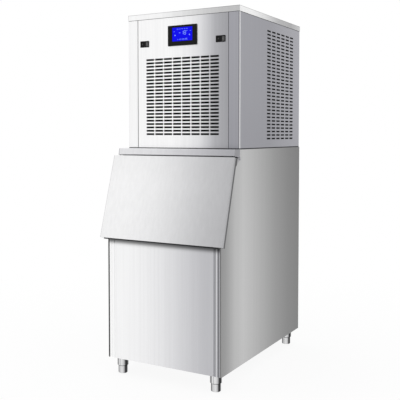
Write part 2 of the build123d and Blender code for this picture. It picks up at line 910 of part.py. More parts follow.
def level_flap():
    reach = flap_width / 2
    end = reach + flap_pin_end
    flap = rod_x(chute_x - end, chute_x + end, flap_y, flap_z, flap_pin)
    flap += rod_x(chute_x - reach, chute_x + reach, flap_y, flap_z, flap_pin + flap_thickness)
    return flap + block(chute_x - reach, chute_x + reach, flap_y - flap_thickness / 2,
                        flap_y + flap_thickness / 2, flap_z - flap_length, flap_z)


# Refrigeration

def compressor():
    plate_z = tray_top + compressor_foot
    low = plate_z + compressor_plate_sheet
    shell = Cylinder(compressor_radius, compressor_height)
    rims = shell.edges().filter_by(GeomType.CIRCLE).sort_by(Axis.Z)
    shell = fillet(rims[-1], compressor_radius / 2)
    shell = chamfer(shell.edges().filter_by(GeomType.CIRCLE).sort_by(Axis.Z)[0], compressor_radius / 8)
    side = compressor_plate / 2
    plate = Box(2 * side, 2 * side, compressor_plate_sheet)
    plate = fillet(plate.edges().filter_by(Axis.Z), compressor_radius / 8)
    unit = Pos(compressor_x, compressor_y, plate_z + compressor_plate_sheet / 2) * plate
    unit += Pos(compressor_x, compressor_y, low + compressor_height / 2) * shell
    foot_reach = side - compressor_foot
    for x in (compressor_x - foot_reach, compressor_x + foot_reach):
        for y in (compressor_y - foot_reach, compressor_y + foot_reach):
            unit += post(x, y, tray_top, plate_z, compressor_foot * 2 / 3)
    return unit


def condenser():
    x0 = condenser_x - condenser_width / 2
    x1 = condenser_x + condenser_width / 2
    top = tray_top + condenser_height
    core = block(x0 + condenser_end, x1 - condenser_end, condenser_front + fin_inset,
                 shroud_front - fin_inset, tray_top + fin_top_gap, top - fin_top_gap)
    for x in (x0, x1 - condenser_plate):
        core += block(x, x + condenser_plate, condenser_front, shroud_front, tray_top, top)
    for row in range(condenser_tubes):
        core += rod_x(x0 - tube_bend_reach, x1 + tube_bend_reach, tube_y, tray_top + tube_pitch * (row + 1),
                      tube_radius)
    return core


def fan_shroud():
    reach = condenser_width / 2
    top = tray_top + condenser_height
    shroud = block(fan_x - reach, fan_x + reach, shroud_front, fan_front, tray_top, top)
    shroud -= block(fan_x - reach + sheet, fan_x + reach - sheet, shroud_front - past, fan_front - sheet,
                    tray_top + sheet, top - sheet)
    return shroud - rod_y(fan_x, shroud_front, fan_front + past, fan_z, fan_radius + fan_clearance)


def fan_motor():
    y0 = fan_front + fan_motor_gap
    bar_y = y0 + fan_bar_setback
    bar_end = bar_y + fan_bar_sheet
    reach = fan_radius + fan_bar_margin
    motor = rod_y(fan_x, y0, y0 + fan_motor_length, fan_z, fan_motor_radius)
    # Three flat arms run out from the motor, and each ends in a foot on the shroud.
    motor += block(fan_x - reach, fan_x + reach, bar_y, bar_end, fan_z - fan_bar_half, fan_z + fan_bar_half)
    motor += block(fan_x - fan_bar_half, fan_x + fan_bar_half, bar_y, bar_end, fan_z, fan_z + reach)
    for x in (fan_x - reach, fan_x + reach):
        motor += block(x - fan_bar_sheet, x + fan_bar_sheet, fan_front, bar_end,
                       fan_z - fan_bar_half, fan_z + fan_bar_half)
    top = fan_z + reach
    motor += block(fan_x - fan_bar_half, fan_x + fan_bar_half, fan_front, bar_end,
                   top - fan_bar_sheet, top + fan_bar_sheet)
    return motor - rod_y(fan_x, y0 - past, y0 + fan_shaft_length, fan_z, fan_shaft + running)


def fan_blade():
    y0 = fan_front - fan_front_reach
    y1 = fan_front + fan_rear_reach
    rotor = rod_y(fan_x, y0, y1, fan_z, fan_hub)
    rotor += rod_y(fan_x, y1, y1 + fan_shaft_length, fan_z, fan_shaft)
    depth = fan_sweep_depth
    ring = rod_y(0, -depth, depth, 0, fan_radius)
    ring -= rod_y(0, -depth - past, depth + past, 0, fan_hub - fan_root)
    paddle = Rot(fan_pitch, 0, 0) * Box(fan_radius, fan_sheet, fan_chord)
    paddle = Pos(fan_radius / 2 + fan_shift, 0, 0) * paddle
    for index in range(fan_blades):
        rotor += Pos(fan_x, (y0 + y1) / 2, fan_z) * Rot(0, index * 360 / fan_blades, 0) * (paddle & ring)
    return rotor


# Water side

tank_back = back_inner
tank_front = tank_back - tank_depth
tank_z = bin_top + tank_low
inlet_z = tank_z + tank_height - inlet_below_rim
float_pivot_y = tank_back - float_pivot_depth
float_pivot_z = tank_z + float_pivot_rise


def water_tank():
    x0 = tank_x - tank_width / 2
    x1 = tank_x + tank_width / 2
    tank = block(x0, x1, tank_front, tank_back, tank_z, tank_z + tank_height)
    tank -= block(x0 + tank_wall, x1 - tank_wall, tank_front + tank_wall, tank_back - tank_wall,
                  tank_z + tank_wall, tank_z + tank_height + past)
    for x in (tank_x - tank_ear_spacing, tank_x + tank_ear_spacing):
        ear = block(x - tank_ear_sheet / 2, x + tank_ear_sheet / 2, float_pivot_y - tank_ear_half,
                    tank_back - tank_wall, float_pivot_z - tank_ear_half, float_pivot_z + tank_ear_half)
        tank += ear - rod_x(x - tank_ear_sheet, x + tank_ear_sheet, float_pivot_y, float_pivot_z,
                            float_pin + running)
    return tank - rod_y(tank_x, tank_back - tank_wall - past, tank_back + past, inlet_z, inlet_bore + touch)


def float_arm():
    y1 = float_pivot_y - float_arm_length
    lift = float_arm_thickness / 2
    arm = block(tank_x - float_arm_half, tank_x + float_arm_half, y1, float_pivot_y,
                float_pivot_z - lift, float_pivot_z + lift)
    arm += rod_x(tank_x - float_hub_half, tank_x + float_hub_half, float_pivot_y, float_pivot_z,
                 float_hub_radius)
    arm += rod_x(tank_x - float_pin_reach, tank_x + float_pin_reach, float_pivot_y, float_pivot_z, float_pin)
    return arm + rod_x(tank_x - float_length / 2, tank_x + float_length / 2, y1 + float_set_back,
                       float_pivot_z - float_hang, float_radius)


def water_inlet():
    end = back + fitting_reach
    outside = back_inner + sheet
    body = rod_y(tank_x, tank_back - tank_wall, end, inlet_z, inlet_bore)
    body += rod_y(tank_x, outside, end, inlet_z, inlet_radius)
    body += rod_y(tank_x, outside, outside + fitting_flange, inlet_z, inlet_radius + inlet_flange_rim)
    return body - rod_y(tank_x, tank_back - tank_wall - past, end + past, inlet_z, inlet_bore - inlet_wall)


def power_gland():
    z = bin_top + gland_height
    inside = back_inner - gland_inside
    end = back + gland_outside
    body = rod_y(gland_x, inside, end, z, gland_thread_radius)
    nut_end = back_inner + sheet + gland_nut
    body += extrude(Plane.XZ.offset(-nut_end) * Pos(gland_x, z) * RegularPolygon(gland_nut_radius, 6),
                    amount=gland_nut)
    return body - rod_y(gland_x, inside - past, end + past, z, gland_bore)


# Pipes

def pipe(*points):
    path = FilletPolyline(*points, radius=3 * tube_radius)
    section = Plane(origin=path @ 0, z_dir=path % 0) * Circle(tube_radius)
    return sweep(section, path=path)


def refrigerant_pipes():
    tube_end = condenser_x + condenser_width / 2 + tube_bend_reach + tube_turn
    top_z = tray_top + tube_pitch * condenser_tubes
    low_z = tray_top + tube_pitch
    shell_top = tray_top + compressor_foot + compressor_plate_sheet + compressor_height
    run_z = shell_top + discharge_rise
    run_y = tube_y + discharge_offset
    jacket = barrel_bore + barrel_wall + barrel_jacket
    discharge = pipe((compressor_x, compressor_y, shell_top), (compressor_x, compressor_y, run_z),
                     (compressor_x, run_y, run_z), (tube_end, run_y, run_z), (tube_end, tube_y, run_z),
                     (tube_end, tube_y, top_z))
    liquid_y = maker_y - liquid_drop
    liquid_z = barrel_low + liquid_rise
    liquid = pipe((tube_end, tube_y, low_z), (tube_end, tube_y, low_z - liquid_drop),
                  (tube_end, liquid_y, low_z - liquid_drop), (tube_end, liquid_y, liquid_z),
                  (maker_x - jacket + liquid_overlap, liquid_y, liquid_z))
    suction_z = barrel_high - suction_drop
    shell_side = shell_top - compressor_radius
    suction = pipe((maker_x, maker_y + jacket, suction_z), (maker_x, compressor_y, suction_z),
                   (maker_x, compressor_y, shell_side),
                   (compressor_x + compressor_radius, compressor_y, shell_side))
    return {"discharge_pipe": discharge, "liquid_pipe": liquid, "suction_pipe": suction}


# Nodes

def bin_nodes():
    side = bin_side()
    bracket = hinge_bracket()
    return {
        "bin_side_right": side,
        "bin_side_left": left_of(side),
        "bin_front": bin_front_panel(),
        "bin_back": bin_back_panel(),
        "bin_base": bin_base(),
        "bin_foam": bin_foam(),
        "bin_liner": bin_liner(),
        "mouth_frame": mouth_frame(),
        "bin_deck": bin_deck(),
        "bin_drain": bin_drain(),
        "hinge_cover": hinge_cover(),
        "hinge_bracket_right": bracket,
        "hinge_bracket_left": left_of(bracket),
    }


def leg_nodes():
    nodes = {}
    for name, x, y in (("front_left", -leg_x, leg_front), ("front_right", leg_x, leg_front),
                       ("rear_left", -leg_x, leg_rear), ("rear_right", leg_x, leg_rear)):
        nodes["leg_" + name] = leg_sleeve(x, y)
        nodes["foot_" + name] = foot(x, y)
    return nodes


def door_nodes():
    return {
        "door_skin": door_skin(),
        "door_liner": door_liner(),
        "door_foam": door_foam(),
        "door_gasket": door_gasket(),
    }


def head_nodes():
    side = side_panel()
    mesh = side_filter()
    return {
        "head_tray": head_tray(),
        "head_side_right": side,
        "head_side_left": left_of(side),
        "head_front": front_panel(),
        "head_back": back_panel(),
        "head_cap": cap(),
        "head_frame": head_frame(),
        "front_filter": front_filter(),
        "side_filter_right": mesh,
        "side_filter_left": left_of(mesh),
        "display_bezel": display_bezel(),
        "display_screen": display_screen(),
        "control_box": control_box(),
        "switch_housing_left": switch_housing(-switch_x),
        "switch_housing_right": switch_housing(switch_x),
        "rocker_left": rocker(-switch_x),
        "rocker_right": rocker(switch_x),
    }


def machine_nodes():
    nodes = {
        "gear_motor": gear_motor(),
        "evaporator": barrel(),
        "auger": auger(),
        "ice_spout": spout(),
        "ice_chute": chute(),
        "level_flap": level_flap(),
        "compressor": compressor(),
        "condenser": condenser(),
        "fan_shroud": fan_shroud(),
        "fan_motor": fan_motor(),
        "fan_blade": fan_blade(),
        "water_tank": water_tank(),
        "float_arm": float_arm(),
        "water_inlet": water_inlet(),
        "power_gland": power_gland(),
    }
    nodes.update(refrigerant_pipes())
    return nodes


os.makedirs("parts", exist_ok=True)
for group in (bin_nodes(), leg_nodes(), door_nodes(), head_nodes(), machine_nodes()):
    for name, shape in group.items():
        export_step(shape, "parts/" + name + ".step")
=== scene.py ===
import json
from math import pi, radians

import bpy
import numpy as np
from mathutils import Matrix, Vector


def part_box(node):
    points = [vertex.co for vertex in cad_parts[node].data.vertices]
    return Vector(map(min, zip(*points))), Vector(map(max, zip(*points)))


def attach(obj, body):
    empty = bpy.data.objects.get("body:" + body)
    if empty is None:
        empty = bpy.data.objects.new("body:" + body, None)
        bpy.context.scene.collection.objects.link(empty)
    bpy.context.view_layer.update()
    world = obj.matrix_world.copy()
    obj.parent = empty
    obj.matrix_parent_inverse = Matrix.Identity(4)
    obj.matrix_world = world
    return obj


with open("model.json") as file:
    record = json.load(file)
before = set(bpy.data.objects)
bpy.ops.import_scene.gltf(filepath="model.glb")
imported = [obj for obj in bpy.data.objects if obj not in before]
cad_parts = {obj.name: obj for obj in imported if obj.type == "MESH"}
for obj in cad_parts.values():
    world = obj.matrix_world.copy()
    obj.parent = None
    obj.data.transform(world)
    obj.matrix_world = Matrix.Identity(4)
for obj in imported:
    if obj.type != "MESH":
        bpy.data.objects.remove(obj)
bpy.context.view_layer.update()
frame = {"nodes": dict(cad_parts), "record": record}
nodes = frame["nodes"]
print("frame loaded:", len(nodes), "nodes")


class Wired:  # a socket that takes part in Python sums: each sum adds a Math node
    def __init__(self, finish, socket):
        self.finish = finish
        self.socket = socket

    def __add__(self, other):
        return self.finish.maths("ADD", self, other)

    def __sub__(self, other):
        return self.finish.maths("SUBTRACT", self, other)

    def __rsub__(self, other):
        return self.finish.maths("SUBTRACT", other, self)

    def __mul__(self, other):
        return self.finish.maths("MULTIPLY", self, other)

    def __truediv__(self, other):
        return self.finish.maths("DIVIDE", self, other)

    __radd__ = __add__
    __rmul__ = __mul__


class Finish:  # a node tree: add() takes a node's type, its settings and its sockets
    def __init__(self, tree):
        self.tree = tree

    def add(self, kind, settings=None, sockets=None, out=0):
        node = self.tree.nodes.new("ShaderNode" + kind)
        for name, value in (settings or {}).items():
            if name == "stops":
                self.setStops(node.color_ramp, value)
            else:
                setattr(node, name, value)
        for name, value in (sockets or {}).items():
            self.feed(node.inputs[name], value)
        return Wired(self, node.outputs[out])

    def feed(self, socket, value):
        # A colour is written as (red, green, blue), and its socket has an alpha too.
        if isinstance(value, Wired):
            self.tree.links.new(value.socket, socket)
        elif socket.type == "RGBA":
            socket.default_value = (*value, 1.0)
        else:
            socket.default_value = value

    def setStops(self, ramp, stops):
        while len(ramp.elements) < len(stops):
            ramp.elements.new(1.0)
        for element, (place, colour) in zip(ramp.elements, stops):
            element.position = place
            element.color = (*colour, 1.0)

    def maths(self, operation, first, second=0.0):
        return self.add("Math", {"operation": operation}, {0: first, 1: second})

    def mixed(self, amount, first, second, blend="MIX"):
        # Mix's colour sockets are numbers 6 and 7, and its colour result is output 2.
        return self.add("Mix", {"data_type": "RGBA", "blend_type": blend},
                        {0: amount, 6: first, 7: second}, out=2)

    def place(self):
        return self.add("TexCoord", out="Object")

    def noise(self, stretch, detail=2.0, rough=0.5):
        # stretch: how many noise cells fit in a metre along x, y and z.
        where = self.add("Mapping", None, {"Vector": self.place(), "Scale": stretch})
        return self.add("TexNoise", None, {"Vector": where, "Scale": 1.0, "Detail": detail,
                                           "Roughness": rough})

    def cloud(self, cells, detail=3.0, rough=0.5):
        return self.noise((cells, cells, cells), detail, rough)

    def along(self, axis):
        return self.add("SeparateXYZ", None, {"Vector": self.place()}, out=axis)

    def wave(self, axis, rate):
        # sin(rate * place), with the rate in radians per metre.
        return self.maths("SINE", self.along(axis) * rate)

    def ranged(self, value, low, high):
        return self.add("MapRange", None, {"Value": value, "From Min": low, "From Max": high})

    def banded(self, direction, bands, cool):
        # bands: (place in metres, lightness) along an axis, or along a direction (x, y, z).
        if isinstance(direction, str):
            place = self.along(direction)
        else:
            place = self.add("VectorMath", {"operation": "DOT_PRODUCT"},
                             {0: self.place(), 1: direction}, out="Value")
        low, high = bands[0][0], bands[-1][0]
        stops = [((at - low) / (high - low), grey(level, cool)) for at, level in bands]
        return self.add("ValToRGB", {"stops": stops}, {0: self.ranged(place, low, high)})

    def bumps(self, height, strength, distance):
        return self.add("Bump", None, {"Height": height, "Strength": strength, "Distance": distance})


class Material(Finish):
    def __init__(self, name, **fixed):
        self.material = bpy.data.materials.new(name)
        self.material.use_nodes = True
        super().__init__(self.material.node_tree)
        self.shader = self.tree.nodes["Principled BSDF"]
        for socket, value in fixed.items():
            self.shader.inputs[socket.replace("_", " ")].default_value = value

    def set(self, socket, value):
        self.feed(self.shader.inputs[socket], value)

    def dress(self, colour, roughness, height, bump):
        # bump: how strong the bumps look, and how high they are in metres.
        self.set("Base Color", colour)
        self.set("Roughness", roughness)
        self.set("Normal", self.bumps(height, *bump))
        return self.material


def layered(shares, *patterns):
    # The first share, and each further share times its pattern. A roughness or tone in brackets below is
    # such a row of shares: the least, and what each pattern adds.
    total = shares[0]
    for share, pattern in zip(shares[1:], patterns):
        total = total + share * pattern
    return total


def grey(level, cool):
    # Painted reflections look bluer where they are darker.
    return (level, level, level * (1.0 + cool * (1.0 - level)))


# Stainless sheet with an upright grain.
brushed = {
    "grain": (1500.0, 1500.0, 5.0),    # fine grain lines, cells per metre
    "grainDetail": 3.0,
    "grainRough": 0.6,
    "streak": (95.0, 95.0, 0.5),       # soft upright streaks
    "tone": (0.86, 0.16, 0.12),        # least, by the grain, by the streaks
    "roughness": (0.25, 0.14, 0.06),
    "bump": (0.05, 0.0004),
    "edgeBlend": 0.0003,               # half of the blur between a sheet's face and its side faces
    # painted shadow on the slots' rims
    "slotShadowColour": (0.02, 0.02, 0.02),
}


def slotShadowMask(finish, axis, start, pitch, count, half, rim):
    # 1 on the slots' rims, where the painted shadow lies: places along the sheet and up it that are less
    # than half + rim from the middle of a slot of the grid.
    inside = 1.0
    for direction, first, step, number, reach in zip((axis, "Z"), start, pitch, count, half):
        place = finish.along(direction) - first
        fromMiddle = finish.maths("ABSOLUTE", place - step * (number - 1) / 2)
        inside = inside * finish.maths("LESS_THAN", fromMiddle, step * number / 2)
        fromSlot = finish.maths("PINGPONG", place, step / 2)
        inside = inside * finish.maths("LESS_THAN", fromSlot, reach + rim)
    return inside


def brushedSteel(name, axis, bands, cool=0.09, sideways=None, edge=None, shade=None, slots=None):
    # sideways: (direction, bands) for the sheet's own side faces, which begin at x = edge on both sides.
    # shade: (height, share of light) upwards, for painted shadow and shade, such as under an edge.
    # slots: a pierced grid, with painted shadow on its slots' rims.
    finish = Material(name, Metallic=1.0)
    tone = finish.banded(axis, bands, cool)
    if sideways:
        away = finish.maths("ABSOLUTE", finish.along("X"))
        beyond = finish.ranged(away, edge - brushed["edgeBlend"], edge + brushed["edgeBlend"])
        tone = finish.mixed(beyond, tone, finish.banded(*sideways, cool))
    if shade:
        tone = finish.mixed(1.0, tone, finish.banded("Z", shade, 0.0), "MULTIPLY")
    if slots:
        tone = finish.mixed(slotShadowMask(finish, **slots), tone, brushed["slotShadowColour"])
    grain = finish.noise(brushed["grain"], brushed["grainDetail"], brushed["grainRough"])
    streak = finish.noise(brushed["streak"])
    lined = finish.mixed(1.0, tone, layered(brushed["tone"], grain, streak), "MULTIPLY")
    return finish.dress(lined, layered(brushed["roughness"], grain, streak), grain, brushed["bump"])


# Polished fastening: fine rings across the upright axis, faint smears.
polished = {"dark": (0.70, 0.70, 0.71), "light": (0.86, 0.86, 0.87), "smear": 25.0,
            "roughness": (0.07, 0.10), "rings": (30.0, 30.0, 2500.0), "ringDetail": 1.0,
            "bump": (0.06, 0.0003)}


def polishedSteel(name):
    finish = Material(name, Metallic=1.0)
    rings = finish.noise(polished["rings"], polished["ringDetail"])
    smear = finish.cloud(polished["smear"])
    tone = finish.mixed(smear, polished["dark"], polished["light"])
    return finish.dress(tone, layered(polished["roughness"], smear), rings, polished["bump"])


# Polished round leg: painted reflections as upright bright and dark stripes, as (degrees round the leg,
# lightness).
leg = {
    "smear": (60.0, 60.0, 14.0), "smearDetail": 3.0, "tone": (0.88, 0.2), "roughness": (0.06, 0.10),
    "cool": 0.03,
    "paintedReflectionStripes": [(-180, 0.10), (-165, 0.55), (-140, 0.38), (-122, 0.14), (-111, 0.18), (-103, 0.72),
                (-94, 0.76), (-86, 0.46), (-78, 0.80), (-64, 0.74), (-52, 0.60), (-42, 0.42),
                (-35, 0.12), (-27, 0.035), (-2, 0.035), (8, 0.45), (20, 0.78), (60, 0.86), (96, 0.34),
                (112, 0.80), (150, 0.70), (168, 0.12), (180, 0.10)],
}


def polishedLeg(name, x, y):
    # Painted reflection stripes by the angle atan2(y - leg's y, x - leg's x), with fine turned rings.
    finish = Material(name, Metallic=1.0)
    angle = finish.maths("ARCTAN2", finish.along("Y") - y, finish.along("X") - x)
    stops = [((at + 180) / 360, grey(level, leg["cool"])) for at, level in leg["paintedReflectionStripes"]]
    paintedReflectionStripes = finish.add("ValToRGB", {"stops": stops}, {0: finish.ranged(angle, -pi, pi)})
    rings = finish.noise(polished["rings"], polished["ringDetail"])
    smear = finish.noise(leg["smear"], leg["smearDetail"])
    tone = finish.mixed(1.0, paintedReflectionStripes, layered(leg["tone"], smear), "MULTIPLY")
    return finish.dress(tone, layered(leg["roughness"], smear), rings, polished["bump"])


# Galvanised sheet: spangle cells in two greys.
zinc = {"dark": (0.46, 0.47, 0.48), "light": (0.62, 0.63, 0.64), "spangles": 70.0, "metal": 0.9,
        "roughness": (0.38, 0.14), "bump": (0.08, 0.0005)}


def zincSheet(name):
    finish = Material(name, Metallic=zinc["metal"])
    cells = finish.add("TexVoronoi", None, {"Vector": finish.place(), "Scale": zinc["spangles"]},
                       out="Color")
    tint = finish.add("SeparateColor", None, {"Color": cells})
    tone = finish.mixed(tint, zinc["dark"], zinc["light"])
    return finish.dress(tone, layered(zinc["roughness"], tint), tint, zinc["bump"])


# Moulded plastic or rubber: fine pebble, a cloudy tint.
skin = {"cloud": 18.0, "shade": 0.84, "roughnessRange": 0.12, "pebbleDetail": 2.0, "bumpHeight": 0.0004}


def moulded(name, colour, roughness, pebble, depth, shine=0.5):
    # pebble: cells per metre. depth: how strong the pebble looks.
    finish = Material(name, Specular_IOR_Level=shine)
    cloud = finish.cloud(skin["cloud"])
    pebbles = finish.cloud(pebble, skin["pebbleDetail"])
    tone = finish.mixed(cloud, tuple(skin["shade"] * part for part in colour), colour)
    shares = (roughness - skin["roughnessRange"] / 2, skin["roughnessRange"])
    return finish.dress(tone, layered(shares, cloud), pebbles, (depth, skin["bumpHeight"]))


# Black rocker with a painted sheen: one third of it, at its right, is dark grey.
rockerSkin = {"black": (0.004, 0.004, 0.004), "worn": (0.010, 0.010, 0.010), "grey": (0.085, 0.085, 0.085),
              "sheenOneIn": 3, "blend": 0.0008, "cloud": 60.0, "roughness": (0.22, 0.1), "shine": 0.12,
              "pebble": 1500.0, "pebbleDetail": 2.0, "bump": (0.04, 0.0003)}


def rockerPlastic(name, x0, x1):
    finish = Material(name, Specular_IOR_Level=rockerSkin["shine"])
    # border: where the painted sheen on the right third begins; the grey colour is this sheen.
    border = x1 - (x1 - x0) / rockerSkin["sheenOneIn"]
    sheenEnd = finish.ranged(finish.along("X"), border - rockerSkin["blend"], border + rockerSkin["blend"])
    cloud = finish.cloud(rockerSkin["cloud"])
    black = finish.mixed(cloud, rockerSkin["black"], rockerSkin["worn"])
    tone = finish.mixed(sheenEnd, black, rockerSkin["grey"])
    pebbles = finish.cloud(rockerSkin["pebble"], rockerSkin["pebbleDetail"])
    return finish.dress(tone, layered(rockerSkin["roughness"], cloud), pebbles, rockerSkin["bump"])


# Poured foam: closed cells in cream, darker in the pores.
foam = {"pores": (0.62, 0.52, 0.30), "dark": (0.80, 0.70, 0.44), "light": (0.88, 0.80, 0.56),
        "cells": 420.0, "cloud": 12.0, "roughness": (0.8, 0.1), "bump": (0.3, 0.001)}


def foamed(name):
    finish = Material(name)
    cells = finish.add("TexVoronoi", {"feature": "SMOOTH_F1"},
                       {"Vector": finish.place(), "Scale": foam["cells"]})
    cloud = finish.cloud(foam["cloud"])
    tone = finish.mixed(cells, foam["pores"], finish.mixed(cloud, foam["dark"], foam["light"]))
    return finish.dress(tone, layered(foam["roughness"], cloud), cells, foam["bump"])


# Filter mesh: dark cloth with threads 2.4 mm apart, dusty in places.
cloth = {"dark": (0.003, 0.003, 0.003), "dusty": (0.010, 0.010, 0.010), "threads": 2600.0, "dust": 40.0,
         "roughness": (0.75, 0.1), "bump": (0.3, 0.0006), "shine": 0.1}


def meshCloth(name):
    # The threads' height is the mean of waves along x, y and z.
    finish = Material(name, Specular_IOR_Level=cloth["shine"])
    alongX, alongY, alongZ = (finish.wave(axis, cloth["threads"]) for axis in "XYZ")
    height = (alongX + alongY + alongZ) / 3.0
    dust = finish.cloud(cloth["dust"])
    tone = finish.mixed(dust, cloth["dark"], cloth["dusty"])
    return finish.dress(tone, layered(cloth["roughness"], dust), height, cloth["bump"])


# Backlit display glass: an even glow with faint columns and rows of dots, 1.2 mm apart.
glass = {"glow": 1.0, "level": (0.80, 0.05, 0.05, 0.2), "dots": 5200.0, "cloud": 22.0, "cloudDetail": 2.0,
         "dimmed": 0.35, "dark": (0.0, 0.0, 0.02), "light": (0.0, 0.0, 0.05), "roughness": 0.12,
         "shine": 0.06}


def litScreen(name, colour):
    finish = Material(name, Roughness=glass["roughness"], Specular_IOR_Level=glass["shine"],
                      Emission_Strength=glass["glow"])
    columns = finish.wave("X", glass["dots"])
    rows = finish.wave("Z", glass["dots"])
    cloud = finish.cloud(glass["cloud"], glass["cloudDetail"])
    level = layered(glass["level"], columns, rows, cloud)
    finish.set("Base Color", finish.mixed(cloud, glass["dark"], glass["light"]))
    dim = tuple(glass["dimmed"] * part for part in colour)
    finish.set("Emission Color", finish.mixed(level, dim, colour))
    return finish.material


# Drawn or cast metal: handling marks over a two-tone colour.
drawn = {"marks": 35.0, "marksDetail": 4.0, "marksRough": 0.6, "fine": 700.0, "fineDetail": 2.0,
         "roughnessBelow": 0.08, "roughnessRange": 0.2, "bump": (0.12, 0.0005)}


def drawnMetal(name, dark, light, roughness):
    finish = Material(name, Metallic=1.0)
    marks = finish.cloud(drawn["marks"], drawn["marksDetail"], drawn["marksRough"])
    fine = finish.cloud(drawn["fine"], drawn["fineDetail"])
    shares = (roughness - drawn["roughnessBelow"], drawn["roughnessRange"])
    return finish.dress(finish.mixed(marks, dark, light), layered(shares, marks), fine, drawn["bump"])


# Condenser: thin upright fins, 2 mm apart, as ridges across x, with painted shade in the gaps between them.
fins = {"gap": (0.12, 0.12, 0.13), "dark": (0.50, 0.51, 0.52), "light": (0.66, 0.67, 0.68),
        "ridges": 3140.0, "height": (0.5, 0.5), "dust": 30.0, "roughness": (0.35, 0.2),
        "bump": (0.6, 0.0008)}


def finned(name):
    finish = Material(name, Metallic=1.0)
    height = layered(fins["height"], finish.wave("X", fins["ridges"]))
    dust = finish.cloud(fins["dust"])
    # Painted shade: the low part of each ridge takes the gap colour.
    tone = finish.mixed(height, fins["gap"], finish.mixed(dust, fins["dark"], fins["light"]))
    return finish.dress(tone, layered(fins["roughness"], dust), height, fins["bump"])


